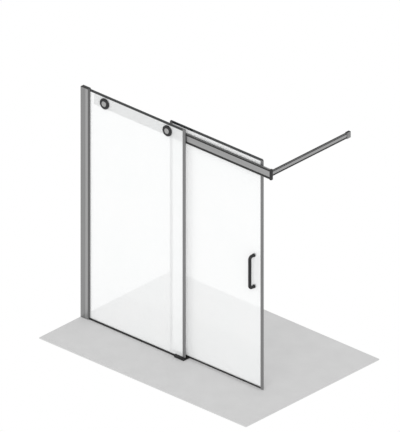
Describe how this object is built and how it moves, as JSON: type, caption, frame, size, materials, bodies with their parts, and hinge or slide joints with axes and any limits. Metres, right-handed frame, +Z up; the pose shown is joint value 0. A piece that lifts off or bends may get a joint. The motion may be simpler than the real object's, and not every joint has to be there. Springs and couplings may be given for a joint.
{
  "type": "sliding shower screen",
  "caption": "Walk-in shower screen: a glass door hung on rollers slides along a top rail clamped to a fixed glass panel, with a wall profile, a floor guide and a bracing bar.",
  "frame": {"origin": "on the wall face at floor level, in line with the fixed panel's front face", "axes": "+X along the screen away from the side wall, +Y from the fixed panel's front face towards the back wall, +Z up"},
  "size_m": [1.9702, 0.929, 2],
  "materials": {
    "anodised_aluminium": "satin anodised",
    "clear_glass": "toughened, polished edges",
    "grey_pvc": "extruded soft PVC",
    "dark_seal": "extruded rubber",
    "black_rubber": "moulded",
    "black_metal": "black powder coat",
    "black_plastic": "fine grained moulding",
    "natural_nylon": "moulded nylon",
    "stainless_steel": "turned and brushed"
  },
  "bodies": {
    "screen": {"wall_channel": "anodised_aluminium", "wall_profile": "anodised_aluminium", "profile_screw_covers": "anodised_aluminium", "rail": "anodised_aluminium", "clamp_caps": "anodised_aluminium", "stabiliser_bar": "anodised_aluminium", "wall_socket": "anodised_aluminium", "fixed_glass": "clear_glass", "panel_edge_strip": "grey_pvc", "glazing_gaskets": "dark_seal", "floor_seal": "dark_seal", "stop_buffers": "black_rubber", "clamp_washers": "black_rubber", "clamp_spacers": "black_rubber", "setting_block": "black_rubber", "end_bracket": "black_metal", "clamp_rings": "black_metal", "floor_guide": "black_plastic", "rail_stops": "black_plastic", "rail_end_cap": "black_plastic", "profile_cap": "black_plastic", "guide_liners": "natural_nylon", "clamp_sleeves": "natural_nylon", "profile_screws": "stainless_steel", "stop_screws": "stainless_steel", "clamp_bolts": "stainless_steel", "nut_plates": "stainless_steel", "bracket_screws": "stainless_steel", "bar_grub_screws": "stainless_steel"},
    "door": {"door_glass": "clear_glass", "door_front_strip": "grey_pvc", "door_rear_strip": "grey_pvc", "door_bottom_seal": "dark_seal", "hanger_plates": "stainless_steel", "hanger_gaskets": "black_rubber", "hanger_sleeves": "natural_nylon", "hanger_washers": "black_rubber", "hanger_bolts": "stainless_steel", "bolt_covers": "anodised_aluminium", "roller_axles": "stainless_steel", "lift_pads": "natural_nylon", "lift_pad_screws": "stainless_steel", "handle": "black_metal", "handle_washers": "black_rubber", "handle_sleeves": "natural_nylon", "handle_screws": "stainless_steel", "handle_covers": "black_metal"},
    "left_wheel": {"left_roller": "natural_nylon", "left_bearing": "stainless_steel"},
    "right_wheel": {"right_roller": "natural_nylon", "right_bearing": "stainless_steel"}
  },
  "joints": [
    {"name": "door_slide", "type": "slide", "parent": "screen", "child": "door", "axis": [1, 0, 0], "range_m": [-0.64, 0.09]},
    {"name": "left_wheel_spin", "type": "hinge", "parent": "door", "child": "left_wheel", "pos_m": [1.002, 0.0245, 1.915], "axis": [0, 1, 0], "range_deg": [-2520, 360]},
    {"name": "right_wheel_spin", "type": "hinge", "parent": "door", "child": "right_wheel", "pos_m": [1.733, 0.0245, 1.915], "axis": [0, 1, 0], "range_deg": [-2520, 360]}
  ],
  "couplings": [
    {"joint": "left_wheel_spin", "follows": "door_slide", "rad_per_m": 68.027},
    {"joint": "right_wheel_spin", "follows": "door_slide", "rad_per_m": 68.027}
  ]
}
